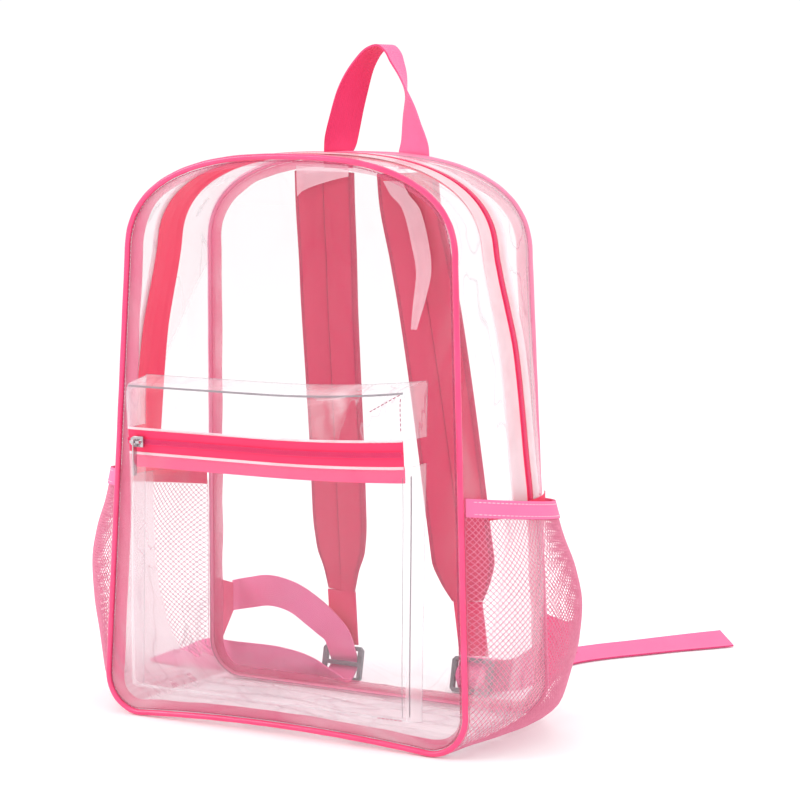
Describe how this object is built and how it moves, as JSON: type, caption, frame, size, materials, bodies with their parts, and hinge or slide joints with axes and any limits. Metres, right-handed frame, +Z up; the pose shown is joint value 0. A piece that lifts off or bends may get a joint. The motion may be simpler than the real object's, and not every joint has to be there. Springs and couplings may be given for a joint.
{
  "type": "clear backpack",
  "caption": "Clear vinyl school backpack with pink piping, zips and webbing, front pocket, side net pockets and padded shoulder straps.",
  "frame": {"origin": "middle of the flat underside, midway between the lower edges of the front and back panels", "axes": "+Z up, -Y towards the front of the bag, +X to the right as seen from the front"},
  "size_m": [0.4263, 0.485, 0.5018],
  "materials": {
    "clear_vinyl": "clear glossy soft PVC sheet",
    "piping": "glossy PVC piping",
    "seam_tape": "woven binding seen through vinyl",
    "zip_tape": "woven zip tape with a coil",
    "webbing": "polypropylene webbing",
    "strap_cloth": "padded polyester",
    "net": "knitted nylon net",
    "lock": "moulded grey acetal",
    "zip_metal": "plated zinc"
  },
  "bodies": {
    "root": {"front_panel": "clear_vinyl", "back_panel": "clear_vinyl", "top_strip_front": "clear_vinyl", "top_strip_back": "clear_vinyl", "base_strip": "clear_vinyl", "pocket_front": "clear_vinyl", "pocket_flap": "clear_vinyl", "piping_front": "piping", "piping_back": "piping", "seam_tape_front": "seam_tape", "seam_tape_back": "seam_tape", "main_zip": "zip_tape", "pocket_zip": "zip_tape", "joint_tape_right": "zip_tape", "joint_tape_left": "zip_tape", "net_pocket_right": "net", "net_pocket_left": "net", "net_binding_right": "webbing", "net_binding_left": "webbing", "handle": "webbing", "strap_left": "strap_cloth", "strap_right": "strap_cloth", "ladder_lock_left": "lock", "ladder_lock_right": "lock", "lock_strip_left": "webbing", "lock_strip_right": "webbing", "adjuster_left": "webbing", "adjuster_right": "webbing", "wing_tab_left": "webbing", "wing_tab_right": "webbing", "pocket_slider": "zip_metal", "pocket_pull": "zip_metal", "main_slider": "zip_metal", "main_pull": "zip_metal"}
  },
  "joints": []
}
